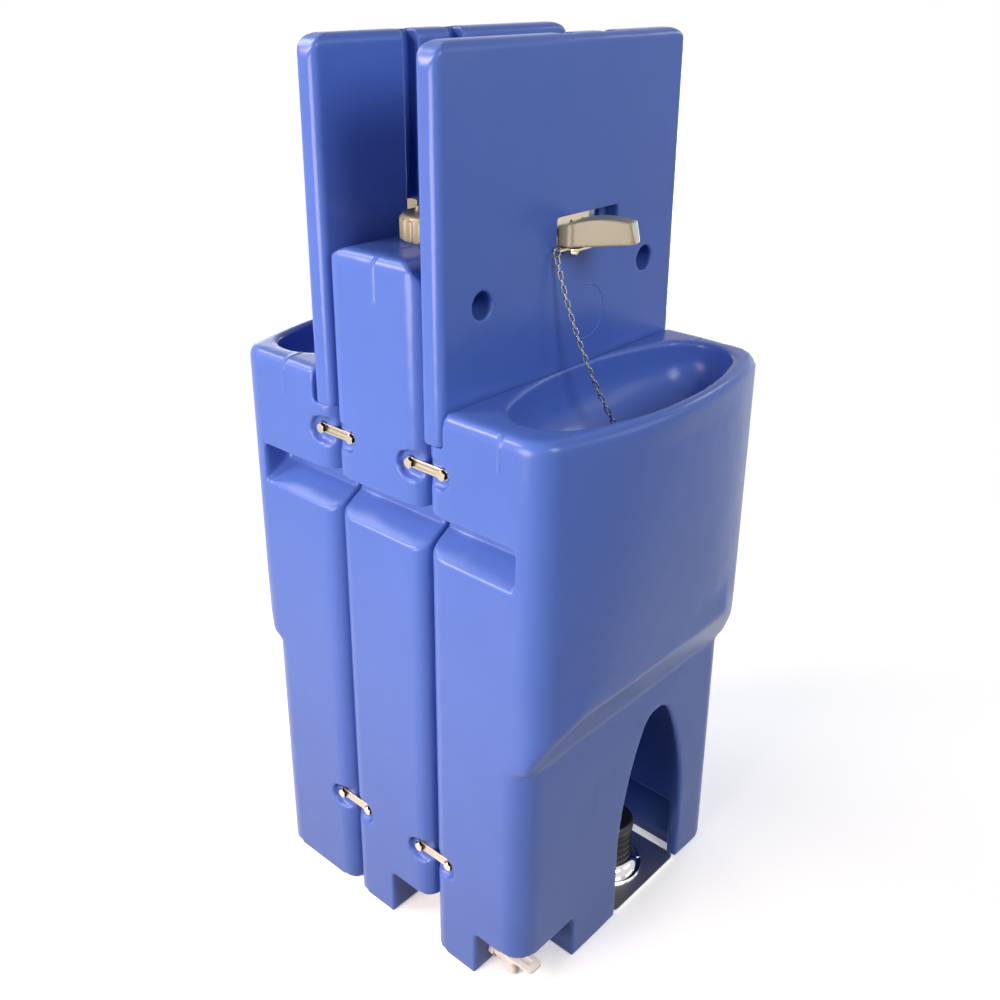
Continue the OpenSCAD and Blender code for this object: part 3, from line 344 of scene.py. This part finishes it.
def dress(material, edge, *names):
    """Gives CAD nodes a material and breaks their sharp edges by that much."""
    for name in names:
        piece = nodes[name]
        piece.data.materials.clear()
        piece.data.materials.append(material)
        if edge:
            weld = piece.modifiers.new("weld", "WELD")
            weld.merge_threshold = 0.00001
            bevel = piece.modifiers.new("edge", "BEVEL")
            bevel.width, bevel.segments, bevel.limit_method = edge, 2, "ANGLE"
            bevel.angle_limit = math.radians(35)
            bevel.harden_normals = True


# stainless sheet: warm grey with a brushed glint, scratches about a third of a millimetre apart,
# drawn a little over a millimetre apart so that they show
steel, tree, shader = finish_of("satin_stainless_steel", "#d6cab2", 0.3, Metallic=1.0)
coords = add(tree, "ShaderNodeTexCoord").outputs["Object"]
grain = add(tree, "ShaderNodeTexNoise", Vector=coords, Scale=900.0, Detail=2.0)
rough = add(tree, "ShaderNodeMapRange", Value=grain.outputs["Fac"], To_Min=0.2, To_Max=0.42)
tree.links.new(rough.outputs[0], shader.inputs["Roughness"])
# blackened screws: dull and dark, so that they sink into the panel's foot
black_steel = finish_of("blackened_steel", "#4a4844", 0.4, Metallic=1.0)[0]
# bolt heads: bright steel on the end face and painted shade on the flanks, a near-black colour that stands
# in for their shadow and dark reflection
bolt_steel, tree, shader = finish_of("bolt_steel_painted_dark_flanks", "#d6cab2", 0.28, Metallic=1.0)
normal = add(tree, "ShaderNodeNewGeometry").outputs["True Normal"]
facing = add(tree, "ShaderNodeSeparateXYZ", Vector=normal)
facing = add(tree, "ShaderNodeMath", {"operation": "ABSOLUTE"}, n0=facing.outputs["X"])
facing = add(tree, "ShaderNodeMapRange", Value=facing.outputs[0], From_Min=0.3, From_Max=0.6)
# painted shade: near-black on the flanks, bright steel where the face looks along X
flank_painted_shade = add(tree, "ShaderNodeMix", {"data_type": "RGBA"}, n0=facing.outputs[0])
flank_painted_shade.inputs[6].default_value = linear("#2b2620")
flank_painted_shade.inputs[7].default_value = linear("#d6cab2")
tree.links.new(flank_painted_shade.outputs[2], shader.inputs["Base Color"])
# brass: a yellow glint down in the bolt holes
brass = finish_of("brass", "#b9965a", 0.3, Metallic=1.0)[0]
dress(steel, 0.0005, "link_plates")
dress(bolt_steel, 0.0005, "link_bolts")
dress(brass, 0, "thread_inserts")
dress(black_steel, 0, "front_panel_screws", "rear_panel_screws")

# ---- filler cap ----
# Screw cap of greyish beige polypropylene with broad grip ribs and a rubber seal under it.
# It is injection moulded and screws onto the tank's neck.

# beige polypropylene: half matt, its highlight broken by a fine spark-eroded grain
beige, tree, shader = finish_of("moulded_beige_polypropylene", "#949076", 0.3, Specular_IOR_Level=0.5)
coords = add(tree, "ShaderNodeTexCoord").outputs["Object"]
grain = add(tree, "ShaderNodeTexNoise", Vector=coords, Scale=700.0, Detail=2.0)
bump = add(tree, "ShaderNodeBump", Height=grain.outputs["Fac"], Distance=0.00004, Strength=1.0)
tree.links.new(bump.outputs["Normal"], shader.inputs["Normal"])
cap_voxel = 0.0009
cap = remeshed("filler_cap_moulding", "filler_cap", cap_voxel)
soften(cap, 3)
show("filler_cap_moulding", cap, beige, "beige_plastic", "filler_cap", "filler_cap")
# rubber: nearly black with a broad dull sheen
rubber = finish_of("black_rubber", "#17181b", 0.42)[0]
dress(rubber, 0, "filler_cap_seal")

# ---- taps ----
# A moulded beige spout swivels on a bolt under a folded stainless bracket in the slot of the panel.
# A grey push-fit elbow brings the water from the hose in the panel's groove.
spout_voxel = 0.0010
spout = remeshed("front_spout_moulding", "front_spout", spout_voxel)
soften(spout, 8)
show("front_spout_moulding", spout, beige, "beige_plastic", "front_spout", "front_spout")
show("rear_spout_moulding", turned(spout), beige, "beige_plastic", "rear_spout", "rear_spout")
# acetal: plain cool grey, half matt
grey_plastic = finish_of("grey_acetal", "#7c8387", 0.4)[0]
for side in ("front", "rear"):
    dress(steel, 0.0004, side + "_spout_bracket", side + "_spout_pivot")
    dress(grey_plastic, 0, side + "_tap_elbow")

# ---- bowl fittings ----
# Stainless waste with cross bars, black rubber plug, wire clip and a welded steel chain.
# The chain hangs from its ring under the tap and slackens when the plug is lifted.

# drawn wire: greyer than the satin sheet, with small bright glints on every link
wire = finish_of("drawn_chain_wire", "#8d8f8c", 0.24, Metallic=1.0)[0]


def shortens(name, node, material, slot):
    """Stands for a soft CAD node with its own copy of the node's mesh, riding on the station."""
    piece = show(name, nodes[node].data.copy(), material, slot, "station", node)
    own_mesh(piece)


for side in ("front", "rear"):
    dress(steel, 0, side + "_bowl_waste")
    dress(wire, 0, side + "_plug_clip")
    shortens(side + "_chain_links", side + "_plug_chain", wire, "stainless_steel")
    dress(rubber, 0, side + "_bowl_plug")
    dress(grey_plastic, 0, side + "_waste_nut")

# ---- foot pump ----
# Bellows pump on a polished steel floor plate: chromed dome, folded black rubber, ribbed tread.
# The bellows stand in the dome and fold as the tread is pressed.
# chrome: a mirror that picks up the white floor and the dark bay
chrome = finish_of("chrome_plate", "#dadbdc", 0.07, Metallic=1.0)[0]
# rolled steel plate: a blurred pale reflection of what stands over it
plate_steel = finish_of("polished_steel_plate", "#e9e7e2", 0.32, Metallic=1.0)[0]
# hose rubber: charcoal grey, duller than the bellows
hose_rubber = finish_of("dark_grey_hose", "#2c3035", 0.45)[0]
for side in ("front", "rear"):
    dress(plate_steel, 0.0006, side + "_kick_plate")
    dress(chrome, 0, side + "_pump_base")
    dress(rubber, 0.0008, side + "_pump_tread")
    shortens(side + "_folded_bellows", side + "_pump_bellows", rubber, "black_rubber")
    dress(hose_rubber, 0, side + "_suction_hose", side + "_delivery_hose")
    dress(grey_plastic, 0, side + "_pump_valves")

# ---- drains ----
# White polypropylene drain cock with a flat lever in the corner cut-out, and a grey plug in the tank.
# Each is screwed into the foot of its shell.

# white polypropylene: warm white with a clear highlight
white_plastic = finish_of("white_polypropylene", "#efece4", 0.28)[0]
dress(grey_plastic, 0.0005, "tank_drain_plug", "tank_outlets")
for side in ("front", "rear"):
    dress(white_plastic, 0, side + "_drain_valve")
    dress(white_plastic, 0.0008, side + "_drain_lever")

# ---- studio ----
# A white floor, two slightly warm lamps on the left and weaker white ones in front, behind and right.
# The surround is white where it is seen and faint where it lights the object.
scene.view_settings.view_transform = "Standard"
for name, place, target, size, power, tint in (
    ("near_left_lamp", (-1.5, 0.0, 0.9), (-0.2, 0, 0.6), 1.0, 30, "#ffe9df"),
    ("high_left_lamp", (-1.9, 1.7, 2.4), (0, 0, 0.8), 1.0, 58, "#ffe9df"),
    ("rear_top_lamp", (-0.6, 2.2, 2.8), (0, 0, 0.9), 1.0, 24, "#ffffff"),
    ("front_lamp", (-0.5, -2.7, 2.5), (0, 0, 0.9), 1.4, 47, "#ffffff"),
    ("front_right_lamp", (1.5, -2.4, 1.8), (0, 0, 0.8), 1.4, 10, "#ffffff"),
    ("right_edge_lamp", (2.5, -1.0, 2.2), (0, -0.2, 0.8), 0.45, 6, "#ffffff"),
    ("right_lamp", (2.7, 0.5, 0.7), (0, 0, 0.6), 1.2, 30, "#ffffff"),
    ("back_lamp", (1.5, 2.8, 1.2), (0, 0, 0.7), 1.4, 14, "#ffffff"),
):
    lamp = bpy.data.lights.new(name, "AREA")
    lamp.shape, lamp.size, lamp.energy = "DISK", size, power
    lamp.color = linear(tint)[:3]
    holder = bpy.data.objects.new(name, lamp)
    holder.location = place
    holder.visible_camera = False
    holder.rotation_euler = (Vector(target) - Vector(place)).to_track_quat("-Z", "Y").to_euler()
    scene.collection.objects.link(holder)

world = bpy.data.worlds.new("pale_surround")
scene.world = world
world.use_nodes = True
tree = world.node_tree
tree.nodes.clear()


def seen_directly(tree):
    """1 where a camera, glossy or transmission ray looks, for the white background."""
    path = add(tree, "ShaderNodeLightPath")
    first = add(tree, "ShaderNodeMath", {"operation": "MAXIMUM"},
                n0=path.outputs["Is Camera Ray"], n1=path.outputs["Is Glossy Ray"])
    both = add(tree, "ShaderNodeMath", {"operation": "MAXIMUM"},
               n0=first.outputs[0], n1=path.outputs["Is Transmission Ray"])
    return both.outputs[0]


ambient = add(tree, "ShaderNodeBackground", Color=linear("#eef2fa"), Strength=0.05)
white = add(tree, "ShaderNodeBackground", Color=linear("#ffffff"), Strength=1.0)
sky = add(tree, "ShaderNodeMixShader",
          n0=seen_directly(tree), n1=ambient.outputs[0], n2=white.outputs[0])
add(tree, "ShaderNodeOutputWorld", Surface=sky.outputs[0])

bpy.ops.mesh.primitive_circle_add(vertices=96, radius=7, fill_type="NGON", location=(0, 0, 0))
floor = bpy.context.object
floor.name = "studio_floor"
pale = bpy.data.materials.new("white_studio_floor")
floor.data.materials.append(pale)
pale.use_nodes = True
tree = pale.node_tree
tree.nodes.clear()
coords = add(tree, "ShaderNodeTexCoord").outputs["Object"]
away = add(tree, "ShaderNodeVectorMath", {"operation": "LENGTH"}, Vector=coords)
# the floor takes the shadow near the station and turns plain white 0.7 to 2 m away
fade = add(tree, "ShaderNodeMapRange", {"interpolation_type": "SMOOTHSTEP"},
           Value=away.outputs["Value"], From_Min=0.7, From_Max=2.0)
matt = add(tree, "ShaderNodeBsdfDiffuse", Color=linear("#ededed"))
lift = add(tree, "ShaderNodeEmission", Color=linear("#ffffff"), Strength=0.35)
near = add(tree, "ShaderNodeAddShader", n0=matt.outputs[0], n1=lift.outputs[0])
far = add(tree, "ShaderNodeEmission", Color=linear("#ffffff"), Strength=1.0)
bright = add(tree, "ShaderNodeMixShader", n0=fade.outputs[0], n1=near.outputs[0], n2=far.outputs[0])
# darker for the light that it throws back, so that the object's foot keeps its colour
dim = add(tree, "ShaderNodeBsdfDiffuse", Color=linear("#555555"))
surface = add(tree, "ShaderNodeMixShader",
              n0=seen_directly(tree), n1=dim.outputs[0], n2=bright.outputs[0])
add(tree, "ShaderNodeOutputMaterial", Surface=surface.outputs[0])

# ---- camera ----
# The photograph's viewpoint: just above the splashbacks, one and a half metres from the middle.
# A small downward shift keeps the station's upright edges as steep as the photograph's.
eye = bpy.data.cameras.new("eye")
eye.sensor_width, eye.lens = 36.0, 40.318
eye.shift_y = -0.075
eye.clip_start, eye.clip_end = 0.05, 50.0
camera = bpy.data.objects.new("eye", eye)
camera.location = (-1.1464, -1.0258, 1.3837)
camera.rotation_euler = [math.radians(a) for a in (67.85, -0.306, -48.029)]
scene.collection.objects.link(camera)
scene.camera = camera
